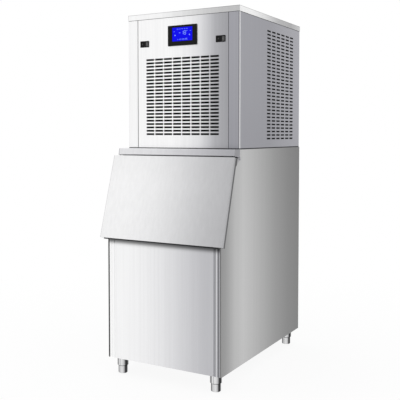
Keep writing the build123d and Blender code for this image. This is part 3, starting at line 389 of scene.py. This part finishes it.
# Painted reflections, highlights and shade on each outer sheet, as lightness: along x on what faces the
# front, along y on the sides. The head's sides wrap round its front corners, and their faces differ only in
# the first stops.
headRightPainted = [(-0.2522, 0.95), (-0.2455, 0.85), (-0.2435, 0.44), (-0.235, 0.38), (0.05, 0.355), (0.2, 0.39),
             (0.42, 0.42)]
headLeftPainted = [(-0.2498, 0.70), (0.1, 0.62), (0.42, 0.56)]
lidOut = (0.0, -0.9563, 0.2924)    # the way that the closed lid faces
paintedSheetLight = {
    "head_front": {
        "axis": "X",
        "bands": [(-0.227, 0.98), (-0.05, 0.97), (0.04, 0.87), (0.09, 0.76), (0.13, 0.60), (0.165, 0.455),
                  (0.2, 0.40), (0.227, 0.37)],
        "slots": {"axis": "X", "start": (-0.16205, 1.05400), "pitch": (0.04630, 0.01495), "count": (8, 23),
                  "half": (0.0195, 0.00325), "rim": 0.001},
    },
    "head_side_right": {
        "axis": "Y", "cool": 0.14, "edge": 0.2745,
        "bands": [(-0.254, 0.36), (-0.2526, 0.36)] + headRightPainted,
        "sideways": ("Y", [(-0.254, 0.18), (-0.2526, 0.18)] + headRightPainted),
        # Painted shade: darker towards the bottom.
        "shade": [(0.99, 0.90), (1.2, 0.97), (1.4, 1.0)],
        "slots": {"axis": "Y", "start": (0.04855, 1.03400), "pitch": (0.05360, 0.01610), "count": (6, 31),
                  "half": (0.01925, 0.00325), "rim": 0.0005},
    },
    "head_side_left": {
        "axis": "Y", "edge": 0.2765,
        "bands": [(-0.254, 0.97), (-0.2508, 0.97)] + headLeftPainted,
        "sideways": ("Y", [(-0.254, 0.60), (-0.2508, 0.60)] + headLeftPainted),
    },
    "head_cap": {
        "axis": "X", "cool": 0.02, "edge": 0.2775,
        "bands": [(-0.28, 0.97), (-0.1, 0.94), (0.0, 0.80), (0.1, 0.66), (0.2, 0.56), (0.28, 0.54)],
        "sideways": ("Y", [(-0.2555, 0.50), (-0.2535, 1.0), (-0.15, 1.0), (0.0, 0.82), (0.15, 0.53),
                           (0.3, 0.46), (0.4245, 0.64)]),
        # Painted shade: a dark line just under the top edge.
        "shade": [(1.563, 1.0), (1.5845, 1.0), (1.5855, 0.5), (1.5864, 0.5), (1.5869, 1.0)],
    },
    "hinge_cover": {
        "axis": "X",
        "bands": [(-0.29, 0.50), (-0.2875, 0.50), (-0.287, 0.78), (-0.2, 0.77), (-0.1, 0.73), (0.0, 0.655),
                  (0.1, 0.565), (0.2, 0.45), (0.2885, 0.40), (0.29, 0.32)],
    },
    # The lid's side walls are measured outwards from the slope: painted shadow at their foot, painted light
    # at their front.
    "door_skin": {
        "axis": "X", "cool": 0.05, "edge": 0.2984,
        "bands": [(-0.299, 0.45), (-0.2975, 0.45), (-0.297, 0.905), (-0.2, 0.905), (-0.12, 0.87),
                  (-0.04, 0.815), (0.04, 0.73), (0.12, 0.63), (0.2, 0.54), (0.2976, 0.465), (0.299, 0.40)],
        "sideways": (lidOut, [(0.55, 0.44), (0.572, 0.44), (0.577, 0.09), (0.590, 0.12), (0.594, 0.40),
                              (0.6025, 0.46)]),
        # Painted shade: darker towards the top.
        "shade": [(0.6, 1.0), (0.84, 1.0), (0.963, 0.94)],
    },
    "bin_front": {
        "axis": "X",
        "bands": [(-0.2725, 1.0), (-0.24, 0.95), (-0.18, 0.935), (-0.1, 0.895), (-0.02, 0.825),
                  (0.06, 0.725), (0.14, 0.61), (0.2, 0.54), (0.2455, 0.53), (0.2465, 0.34), (0.2545, 0.28),
                  (0.2552, 0.74), (0.2590, 0.70), (0.2600, 0.46), (0.2635, 0.42), (0.2645, 0.15),
                  (0.2685, 0.15), (0.2692, 0.56), (0.2725, 0.50)],
        # Painted shadow under the lid's lower edge.
        "shade": [(0.568, 1.0), (0.575, 0.92), (0.580, 0.71), (0.585, 0.45), (0.589, 0.285),
                  (0.593, 0.195), (0.5975, 0.14)],
    },
    "bin_side_right": {
        "axis": "Y", "cool": 0.0,
        "bands": [(-0.4135, 0.30), (-0.412, 0.30), (-0.37, 0.35), (-0.29, 0.51), (-0.21, 0.56),
                  (-0.1, 0.48), (0.12, 0.31), (0.28, 0.225), (0.4246, 0.185)],
    },
    "bin_side_left": {
        "axis": "Y", "cool": 0.0,
        # Painted shade: the first stops make the front return dark.
        "bands": [(-0.4135, 0.10), (-0.412, 0.12), (-0.4115, 0.60), (-0.3, 0.74), (0.0, 0.62),
                  (0.4246, 0.50)],
    },
    "head_back": {"axis": "X", "bands": [(-0.28, 0.60), (0.0, 0.68), (0.28, 0.58)]},
    "hinge_bracket_left": {"axis": "Z", "bands": [(0.944, 0.60), (0.963, 0.66)]},
    # Painted shade: the right bracket is darker than the left.
    "hinge_bracket_right": {"axis": "Z", "bands": [(0.944, 0.40), (0.963, 0.46)]},
}
for node, look in paintedSheetLight.items():
    nodes[node].material_slots[0].material = brushedSteel("sheet_" + node, **look)
print("outer sheets finished")

finishes = {
    "stainless_inner": drawnMetal("mill_steel", (0.48, 0.48, 0.49), (0.66, 0.66, 0.67), roughness=0.36),
    "polished": polishedSteel("polished_steel"),
    "liner": moulded("liner_white", (0.86, 0.88, 0.89), roughness=0.3, pebble=500.0, depth=0.04),
    "foam": foamed("poured_foam"),
    "gasket": moulded("gasket_rubber", (0.022, 0.022, 0.024), roughness=0.55, pebble=1400.0, depth=0.15,
                      shine=0.2),
    "mesh": meshCloth("filter_mesh"),
    "black_plastic": moulded("black_gloss", (0.006, 0.006, 0.006), roughness=0.2, pebble=1500.0, depth=0.03,
                             shine=0.12),
    "screen": litScreen("screen_glow", (0.003, 0.003, 0.86)),
    "galvanised": zincSheet("zinc_sheet"),
    "machine_paint": moulded("satin_black", (0.02, 0.02, 0.022), roughness=0.38, pebble=600.0, depth=0.12,
                             shine=0.3),
    "casting": drawnMetal("cast_alloy", (0.42, 0.43, 0.44), (0.58, 0.59, 0.60), roughness=0.5),
    "copper": drawnMetal("copper_tube", (0.52, 0.24, 0.14), (0.80, 0.46, 0.31), roughness=0.3),
    "brass": drawnMetal("turned_brass", (0.58, 0.44, 0.18), (0.78, 0.63, 0.32), roughness=0.28),
    "white_plastic": moulded("white_moulding", (0.80, 0.81, 0.81), roughness=0.42, pebble=700.0, depth=0.06),
    "fins": finned("finned_block"),
}
for row in frame["record"]["subparts"]:
    if row["node"] not in paintedSheetLight:
        nodes[row["node"]].material_slots[0].material = finishes[row["material_slot"]]
for corner in ("front_left", "front_right", "rear_left", "rear_right"):
    low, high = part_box("leg_" + corner)
    steel = polishedLeg("leg_steel_" + corner, (low[0] + high[0]) / 2, (low[1] + high[1]) / 2)
    nodes["leg_" + corner].material_slots[0].material = steel
    nodes["foot_" + corner].material_slots[0].material = steel
for side in ("left", "right"):
    low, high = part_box("rocker_" + side)
    plastic = rockerPlastic("rocker_plastic_" + side, low[0], high[0])
    nodes["rocker_" + side].material_slots[0].material = plastic
print("finishes set on", len(nodes), "nodes")


def meshPiece(name, points, faces, material, body, smooth=True):
    mesh = bpy.data.meshes.new(name)
    mesh.from_pydata(points.reshape(-1, 3).tolist(), [], [list(face) for face in faces])
    mesh.validate()
    mesh.polygons.foreach_set("use_smooth", np.full(len(mesh.polygons), smooth))
    mesh.materials.append(material)
    piece = bpy.data.objects.new(name, mesh)
    bpy.context.scene.collection.objects.link(piece)
    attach(piece, body)
    return piece


def gridFaces(rows, columns, closeRows, closeColumns):
    # Quads of a rows by columns grid of points; a closed direction joins its last line to its first.
    row = np.arange(rows if closeRows else rows - 1)[:, None]
    column = np.arange(columns if closeColumns else columns - 1)[None, :]
    nextRow = (row + 1) % rows
    nextColumn = (column + 1) % columns
    return np.stack([row * columns + column, nextRow * columns + column,
                     nextRow * columns + nextColumn, row * columns + nextColumn], axis=-1).reshape(-1, 4)


def capped(rows, columns):
    # The faces of a tube of rows, each a closed loop of columns points, with an end face on each side.
    loop = np.arange(columns)
    sides = gridFaces(rows, columns, False, True)
    return [list(face) for face in sides] + [list(loop), list(loop[::-1] + (rows - 1) * columns)]


def turned(profile, steps):
    # Surface of revolution about +z: (r cos a, -r sin a, h) for each profile point (r, h), bottom first.
    angle = np.linspace(0, 2 * np.pi, steps, endpoint=False)[None, :]
    radius, height = np.array(profile).T[:, :, None]
    return np.stack([np.cos(angle) * radius, -np.sin(angle) * radius,
                     np.broadcast_to(height, (len(profile), steps))], axis=-1)


def facing(outward):
    # Rows: right, up and out of a face that looks along outward.
    outward = np.array(outward, float)
    right = np.cross((0.0, 0.0, 1.0), outward)
    return np.array([right, np.cross(outward, right), outward])


def box(node):
    low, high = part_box(node)
    return np.array(low), np.array(high)


# Dark rubber bands round the head, which stand in for the shade lines at its foot and under the cap's skirt.
shellBand = {"foot": 0.0046, "footLift": 0.0001, "underCap": 0.0014, "proud": 0.0007, "sunk": 0.003,
             "corner": 0.004, "cornerSteps": 6}


def headShadeBand(name, z, height):
    # A rectangular section carried round a rounded rectangle: corner centre + r (cos a, sin a).
    x = box("head_side_right")[1][0]
    y0, y1 = box("head_side_left")[0][1], box("head_back")[1][1]
    radius = shellBand["corner"]
    turn = np.linspace(0, np.pi / 2, shellBand["cornerSteps"])
    signX, signY = np.array([1, -1, -1, 1]), np.array([1, 1, -1, -1])
    centreX = np.repeat(signX * (x - radius), len(turn))
    centreY = np.repeat(np.where(signY > 0, y1 - radius, y0 + radius), len(turn))
    angle = (turn[None] + np.arange(4)[:, None] * np.pi / 2).ravel()
    out = radius + np.array([shellBand["proud"], shellBand["proud"], -shellBand["sunk"], -shellBand["sunk"]])
    up = z + np.array([0.0, height, height, 0.0])
    points = np.stack([centreX[:, None] + np.cos(angle)[:, None] * out,
                       centreY[:, None] + np.sin(angle)[:, None] * out,
                       np.broadcast_to(up, (len(angle), 4))], axis=-1)
    faces = gridFaces(len(angle), 4, True, True)
    return meshPiece(name, points, faces, finishes["gasket"], "cabinet", False)


headShadeBand("foot_shade_band", box("head_side_left")[0][2] + shellBand["footLift"], shellBand["foot"])
headShadeBand("cap_shade_band", box("head_cap")[0][2] - shellBand["underCap"], shellBand["underCap"])
print("rubber bands laid")

# Dark rubber half-round beads in the upright joints between the front panels and the side sheets, standing
# in for the shade in these gaps.
joint = {"sink": 0.0009, "depth": 0.0016, "steps": 7, "touch": 0.0001}


def seamShadeBead(name, x0, x1, front, z0, z1):
    # Section: (middle + w cos t, front + d (1 - sin t)) for t from 0 to pi, closed by its straight back.
    t = np.linspace(0, np.pi, joint["steps"])
    half = (x1 - x0) / 2 + joint["touch"]
    section = np.stack([(x0 + x1) / 2 + half * np.cos(t), front + joint["depth"] * (1 - np.sin(t))], axis=-1)
    ends = np.array([z0, z1])[:, None, None]
    points = np.concatenate([np.broadcast_to(section, (2,) + section.shape),
                             np.broadcast_to(ends, (2, len(t), 1))], axis=-1)
    return meshPiece(name, points, capped(2, len(t)), finishes["gasket"], "cabinet")


def allSeamShadeBeads():
    panel, wrap = box("head_front"), box("head_side_right")
    z1 = box("head_cap")[0][2]
    front = panel[0][1] + joint["sink"]
    seamShadeBead("head_seam_shade_right", panel[1][0], wrap[0][0], front, panel[0][2] + shellBand["foot"], z1)
    seamShadeBead("head_seam_shade_left", -wrap[0][0], -panel[1][0], front, panel[0][2] + shellBand["foot"], z1)
    panel, side = box("bin_front"), box("bin_side_right")
    front = panel[0][1] + joint["sink"]
    seamShadeBead("bin_seam_shade_right", panel[1][0], side[0][0], front, panel[0][2], panel[1][2])
    seamShadeBead("bin_seam_shade_left", -side[0][0], -panel[1][0], front, panel[0][2], panel[1][2])


allSeamShadeBeads()
print("joints sealed")

# Rubber lip along the lid's lower edge, over the bin's width, dark to stand in for the shadow line under the
# lid.
# along and out are metres on the slope that the lid lies on, from the point where the bin's front and its
# top edge would meet.
lip = {"along": (-0.0068, -0.0020), "out": (0.0245, 0.0315), "lean": 17.0, "crease": 0.599, "steps": 8}


def lidShadowLip():
    # Section: a flat top under the lid and a half-ellipse below, carried straight along x.
    front = box("bin_front")[0][1]
    lean = np.radians(lip["lean"])
    low, high = lip["along"]
    near, far = lip["out"]
    t = np.linspace(0, np.pi, lip["steps"])
    along = high - (high - low) * np.sin(t)
    out = (near + far) / 2 + (far - near) / 2 * np.cos(t)
    y = front + along * np.sin(lean) - out * np.cos(lean)
    z = lip["crease"] + along * np.cos(lean) + out * np.sin(lean)
    reach = box("bin_side_right")[1][0]
    ends = np.array([reach, -reach])[:, None]
    points = np.stack([np.broadcast_to(ends, (2, len(t))), np.broadcast_to(y, (2, len(t))),
                       np.broadcast_to(z, (2, len(t)))], axis=-1)
    return meshPiece("lid_shadow_lip", points, capped(2, len(t)), finishes["gasket"], "door")


lidShadowLip()
print("lid lip on")

# Pan-head screws on the back and on the hinge brackets.
screws = {"radius": 0.0042, "small": 0.0028, "crown": 0.45, "bow": 1.13, "bowSteps": 6, "wall": 0.0004,
          "shank": 0.001, "recess": 0.26, "sunk": 0.25, "steps": 18, "edge": 0.014, "underCap": 0.04,
          "rows": 4, "midX": 0.09, "bracketY": (0.010, 0.022), "bracketPlate": 0.0025}


def screwSet(name, places, outward, radius):
    # Revolved profile: r(t) = R cos t, h(t) = wall + crown R sin t over a short shank, with a sunk middle.
    bow = np.linspace(0, screws["bow"], screws["bowSteps"])
    height = screws["wall"] + screws["crown"] * radius * np.sin(bow)
    recess = screws["recess"] * radius
    profile = [(radius, -screws["shank"])] + list(zip(radius * np.cos(bow), height))
    profile += [(recess, height[-1]), (recess, height[-1] - screws["sunk"] * radius)]
    head = turned(profile, screws["steps"]) @ facing(outward)
    every = np.array(places)[:, None, None, :] + head[None]
    rows, columns = head.shape[:2]
    faces = [[point + rows * columns * k for point in face]
             for k in range(len(places)) for face in capped(rows, columns)]
    return meshPiece(name, every, faces, finishes["polished"], "cabinet")


def allScrews():
    edge = screws["edge"]
    low, high = box("head_back")
    heights = np.linspace(low[2] + edge, high[2] - screws["underCap"], screws["rows"])
    places = [(side * (high[0] - edge), high[1], z) for side in (-1, 1) for z in heights]
    places += [(side * screws["midX"], high[1], heights[-1]) for side in (-1, 1)]
    screwSet("back_screws", places, (0, 1, 0), screws["radius"])
    low, high = box("bin_back")
    heights = np.linspace(low[2] + edge, high[2] - edge, screws["rows"] + 1)
    places = [(side * (high[0] - edge), high[1], z) for side in (-1, 1) for z in heights]
    screwSet("bin_back_screws", places, (0, 1, 0), screws["radius"])
    low, high = box("hinge_bracket_right")
    middle = (low[2] + high[2]) / 2
    plate = box("bin_side_right")[1][0] + screws["bracketPlate"]
    for name, side in (("bracket_screws_right", 1), ("bracket_screws_left", -1)):
        places = [(side * plate, high[1] - back, middle) for back in screws["bracketY"]]
        screwSet(name, places, (side, 0, 0), screws["small"])


allScrews()
print("screws in")

# Hose thread on the water inlet. It fades over fadeOver radians at each end, to fadeLeast of its height.
thread = {"pitch": 0.0023, "turns": 6, "height": 0.0009, "foot": 0.0004, "flank": 0.4, "steps": 40,
          "radius": 0.013, "fromEnd": 0.002, "fadeOver": 1.0, "fadeLeast": 0.05}


def hoseThread():
    # A three-cornered ridge carried along a helix: angle a, y = end - pitch (turns - a / 2 pi), and the
    # ridge rises from the spigot's radius and fades at both ends.
    low, high = box("water_inlet")
    x, z = (low[0] + high[0]) / 2, (low[2] + high[2]) / 2
    angle = np.linspace(0, 2 * np.pi * thread["turns"], thread["turns"] * thread["steps"] + 1)[:, None]
    fromEnds = np.minimum(angle, angle[-1] - angle)
    fade = np.clip(fromEnds / thread["fadeOver"], thread["fadeLeast"], 1.0)
    ridge = np.array([-thread["foot"], thread["height"], -thread["foot"]])[None] * fade
    across = np.array([1, 0, -1])[None] * thread["flank"] * thread["pitch"]
    y = high[1] - thread["fromEnd"] - thread["pitch"] * (thread["turns"] - angle / (2 * np.pi)) + across
    radius = thread["radius"] + ridge
    points = np.stack([x + radius * np.cos(angle), y, z + radius * np.sin(angle)], axis=-1)
    return meshPiece("inlet_thread", points, capped(len(angle), 3), finishes["brass"], "cabinet")


hoseThread()
print("inlet threaded")

# Display marks: flat bars with pointed ends. The digits stand in the screen's middle, before a degree ring.
display = {
    "digits": "-18", "digitHeight": 0.0165, "digitWidth": 0.0090, "digitGap": 0.0130, "digitsUp": 0.006,
    "barWidth": 0.0012, "degreeOut": 0.0105, "degreeDown": 0.001, "degreeRadius": 0.0014,
    "degreeThin": 0.7, "degreeBars": 8, "thickness": 0.0003, "colour": (0.38, 0.58, 1.0),
}
# Small signs, placed from the screen's edges: a row of dashes above, bars that grow below, and a star and
# a dash on each side.
dashes = {"number": 5, "pitch": 0.0115, "down": 0.007, "half": 0.0030, "width": 0.0006}
growing = {"number": 7, "pitch": 0.0075, "up": 0.0075, "half": 0.0016, "more": 0.0004, "width": 0.0008}
star = {"bars": 3, "inwards": 0.014, "up": -0.004, "half": 0.0034, "width": 0.0005}
sideDash = {"inwards": 0.010, "up": 0.012, "half": 0.0022, "width": 0.0005}
segments = {  # each digit's lit bars: top, upper left, upper right, middle, lower left, lower right, bottom
    "-": "0001000", "1": "0010010", "8": "1111111",
}


def flatBars(name, bars, origin, outward, thickness, material, body):
    # A bar (a, b, half length, half width, turn) is the hexagon (+-L, 0), (+-(L - w), +-w), turned and
    # moved in the plane of a face, then raised by its thickness.
    a, b, length, width, turn = np.array(bars).T[:, :, None]
    alongBar = np.array([1, 1, -1, -1, -1, 1]) * length - np.array([0, 1, -1, 0, -1, 1]) * width
    across = np.array([0, 1, 1, 0, -1, -1]) * width
    right = a + alongBar * np.cos(turn) - across * np.sin(turn)
    up = b + alongBar * np.sin(turn) + across * np.cos(turn)
    top = np.stack([right, up, np.full_like(right, thickness)], axis=-1)
    points = np.concatenate([top, top * (1, 1, 0)], axis=1) @ facing(outward) + origin
    ring = np.arange(6)
    sides = np.stack([ring + 6, (ring + 1) % 6 + 6, (ring + 1) % 6, ring], axis=-1)
    offsets = 12 * np.arange(len(bars))
    faces = [list(ring + k) for k in offsets] + [list(ring[::-1] + 6 + k) for k in offsets]
    faces += [list(side + k) for k in offsets for side in sides]
    return meshPiece(name, points, faces, material, body, False)


def ringBars(a, b, radius, width, count):
    # A ring of short bars, each across the radius at its own angle.
    reach = radius * np.tan(np.pi / count) + width / 2
    return [(a + radius * np.cos(t), b + radius * np.sin(t), reach, width, t + np.pi / 2)
            for t in np.arange(count) * 2 * np.pi / count]


def centred(number):
    # Whole steps on both sides of the middle, for an odd number.
    return range(-(number // 2), number // 2 + 1)


def smallSigns(halfX, halfZ):
    bars = [(k * dashes["pitch"], halfZ - dashes["down"], dashes["half"], dashes["width"], 0.0)
            for k in centred(dashes["number"])]
    bars += [(k * growing["pitch"], growing["up"] - halfZ,
              growing["half"] + growing["more"] * (k + growing["number"] // 2), growing["width"], np.pi / 2)
             for k in centred(growing["number"])]
    bars += [(side * (halfX - star["inwards"]), star["up"], star["half"], star["width"],
              k * np.pi / star["bars"])
             for side in (-1, 1) for k in range(star["bars"])]
    bars += [(side * (halfX - sideDash["inwards"]), sideDash["up"], sideDash["half"], sideDash["width"], 0.0)
             for side in (-1, 1)]
    return bars


def displayMarks():
    low, high = box("display_screen")
    tall, wide, bar = display["digitHeight"], display["digitWidth"], display["barWidth"] / 2
    across, upright = wide / 2 - bar, tall / 4 - bar
    spots = ((0, tall / 2, 0), (-wide / 2, tall / 4, 1), (wide / 2, tall / 4, 1), (0, 0, 0),
             (-wide / 2, -tall / 4, 1), (wide / 2, -tall / 4, 1), (0, -tall / 2, 0))
    text, lift = display["digits"], display["digitsUp"]
    bars = []
    for index, digit in enumerate(text):
        middle = (index - (len(text) - 1) / 2) * display["digitGap"]
        bars += [(middle + dx, lift + dz, upright if standing else across, bar, np.pi / 2 * standing)
                 for lit, (dx, dz, standing) in zip(segments[digit], spots) if lit == "1"]
    # The degree ring stands beside the last digit's top.
    bars += ringBars(middle + display["degreeOut"], lift + tall / 2 - display["degreeDown"],
                     display["degreeRadius"], bar * display["degreeThin"], display["degreeBars"])
    bars += smallSigns((high[0] - low[0]) / 2, (high[2] - low[2]) / 2)
    glow = litScreen("mark_glow", display["colour"])
    centre = ((low[0] + high[0]) / 2, low[1], (low[2] + high[2]) / 2)
    flatBars("display_marks", bars, centre, (0, -1, 0), display["thickness"], glow, "cabinet")


displayMarks()
print("display marks lit")

# Switch marks, printed on each half of the rockers: a bar on the left half, a ring on the right half.
rocker = {"tilt": 8.0, "crown": 0.007, "valley": 0.004, "half": 0.0185, "at": 0.0105, "axisIn": 0.003,
          "barHalf": 0.0030, "ring": 0.0026, "ringBars": 12, "line": 0.0006, "thickness": 0.0002,
          "colour": (0.20, 0.20, 0.20)}


def rockerMarks():
    # Each half's face runs from (0, -valley) to (+-half, -crown) in the rocker's own plan, which is
    # turned about its upright pin by the tilt.
    tilt = np.radians(rocker["tilt"])
    turn = np.array([[np.cos(tilt), np.sin(tilt), 0], [-np.sin(tilt), np.cos(tilt), 0], [0, 0, 1]])
    pinY = box("head_front")[0][1] + rocker["axisIn"]
    rise = (rocker["crown"] - rocker["valley"]) / rocker["half"]
    pale = moulded("printed_mark", rocker["colour"], roughness=0.5, pebble=2000.0, depth=0.02, shine=0.1)
    marks = ((-1, "bar", [(0, 0, rocker["barHalf"], rocker["line"], np.pi / 2)]),
             (1, "ring", ringBars(0, 0, rocker["ring"], rocker["line"], rocker["ringBars"])))
    for side in ("left", "right"):
        low, high = box("rocker_" + side)
        housing = box("switch_housing_" + side)
        pin = np.array([(housing[0][0] + housing[1][0]) / 2, pinY, (low[2] + high[2]) / 2])
        for sign, mark, bars in marks:
            outward = np.array([-sign * rise, -1.0, 0.0]) / np.hypot(rise, 1.0)
            spot = np.array([sign * rocker["at"], -rocker["valley"] - rise * rocker["at"], 0.0])
            flatBars("rocker_" + side + "_" + mark, bars, spot @ turn + pin, outward @ turn,
                     rocker["thickness"], pale, "rocker_" + side)


rockerMarks()
print("switches marked")


# Floor, world, lamps and camera, for the photo's view. Rays of the camera and of mirrors see the floor's
# whiteShare as plain white, and all of it from fadeTo metres out.
stage = {"half": 14.0, "colour": (0.92, 0.92, 0.92), "mottle": 1.5, "mottleDetail": 2.0, "mottled": 0.98,
         "roughness": (0.85, 0.1), "white": (1.0, 1.0, 1.0), "whiteShare": 0.90, "fadeFrom": 0.7,
         "fadeTo": 2.2}


def whiteRays(finish):
    # 1 for rays of the camera, of glossy and of clear surfaces.
    camera, glossy, clear = (finish.add("LightPath", out="Is " + kind + " Ray")
                             for kind in ("Camera", "Glossy", "Transmission"))
    return finish.maths("MAXIMUM", finish.maths("MAXIMUM", camera, glossy), clear)


def floor():
    half = stage["half"]
    corners = [(-half, -half, 0), (half, -half, 0), (half, half, 0), (-half, half, 0)]
    mesh = bpy.data.meshes.new("floor")
    mesh.from_pydata(corners, [], [(0, 1, 2, 3)])
    piece = bpy.data.objects.new("floor", mesh)
    bpy.context.scene.collection.objects.link(piece)
    finish = Material("floor_white")
    mottle = finish.cloud(stage["mottle"], stage["mottleDetail"])
    dimmer = tuple(stage["mottled"] * part for part in stage["colour"])
    finish.set("Base Color", finish.mixed(mottle, stage["colour"], dimmer))
    finish.set("Roughness", layered(stage["roughness"], mottle))
    white = finish.add("Emission", None, {"Color": stage["white"], "Strength": 1.0})
    # The floor keeps the machine's shadow near it and turns white further out.
    distance = finish.add("VectorMath", {"operation": "LENGTH"}, {0: finish.place()}, out="Value")
    far = finish.ranged(distance, stage["fadeFrom"], stage["fadeTo"])
    seen = whiteRays(finish) * (stage["whiteShare"] + (1.0 - stage["whiteShare"]) * far)
    blend = finish.add("MixShader", None, {0: seen, 1: Wired(finish, finish.shader.outputs[0]), 2: white})
    finish.feed(finish.tree.nodes["Material Output"].inputs["Surface"], blend)
    mesh.materials.append(finish.material)


room = {
    "level": 1.0,
    # Dim parts of the white room: axis, cosine where it starts, cosine where it is full, depth.
    "lobes": (((0.42, 0.90, 0.0), 0.72, 0.98, 0.05), ((0.93, 0.36, 0.0), 0.86, 0.955, 0.85),
              ((-0.35, -0.93, 0.0), 0.85, 1.0, 0.05)),
}


def studioWorld():
    # light = level (1 - depth smoothstep(direction . axis)) for each lobe, and plain white to the camera.
    world = bpy.data.worlds.new("studio")
    world.use_nodes = True
    bpy.context.scene.world = world
    finish = Finish(world.node_tree)
    direction = finish.add("TexCoord", out="Generated")
    level = room["level"]
    for axis, start, full, depth in room["lobes"]:
        toward = finish.add("VectorMath", {"operation": "DOT_PRODUCT"}, {0: direction, 1: axis}, out="Value")
        lobe = finish.add("MapRange", {"interpolation_type": "SMOOTHSTEP"},
                          {"Value": toward, "From Min": start, "From Max": full})
        level = level * (1.0 - lobe * depth)
    camera = finish.add("LightPath", out="Is Camera Ray")
    strength = level * (1.0 - camera) + camera
    output = world.node_tree.nodes["World Output"]
    shade = finish.add("Background", None, {"Color": stage["white"], "Strength": strength})
    finish.feed(output.inputs["Surface"], shade)


lamps = {  # place, aim, size, watts
    "key": ((-1.2, -2.4, 4.2), (0.0, 0.0, 0.8), 2.6, 11.0),
}


def hangLamps():
    for name, (place, aim, size, watts) in lamps.items():
        light = bpy.data.lights.new(name, "AREA")
        light.size = size
        light.energy = watts
        lamp = bpy.data.objects.new(name, light)
        lamp.location = place
        lamp.rotation_euler = (Vector(aim) - Vector(place)).to_track_quat("-Z", "Y").to_euler()
        bpy.context.scene.collection.objects.link(lamp)


view = {"place": (1.5593, -2.8628, 1.0536), "turn": 29.363, "tilt": -2.608, "focalPixels": 697.4,
        "imagePixels": 400, "axisPixel": 166, "sensor": 36.0}


def setCamera():
    data = bpy.data.cameras.new("camera")
    data.sensor_width = view["sensor"]
    data.lens = view["focalPixels"] / view["imagePixels"] * view["sensor"]
    data.shift_y = (view["axisPixel"] - view["imagePixels"] / 2) / view["imagePixels"]
    camera = bpy.data.objects.new("camera", data)
    camera.location = view["place"]
    camera.rotation_euler = (radians(90 + view["tilt"]), 0.0, radians(view["turn"]))
    bpy.context.scene.collection.objects.link(camera)
    bpy.context.scene.camera = camera


floor()
studioWorld()
hangLamps()
setCamera()
bpy.context.scene.view_settings.view_transform = "Standard"
print("stage set")
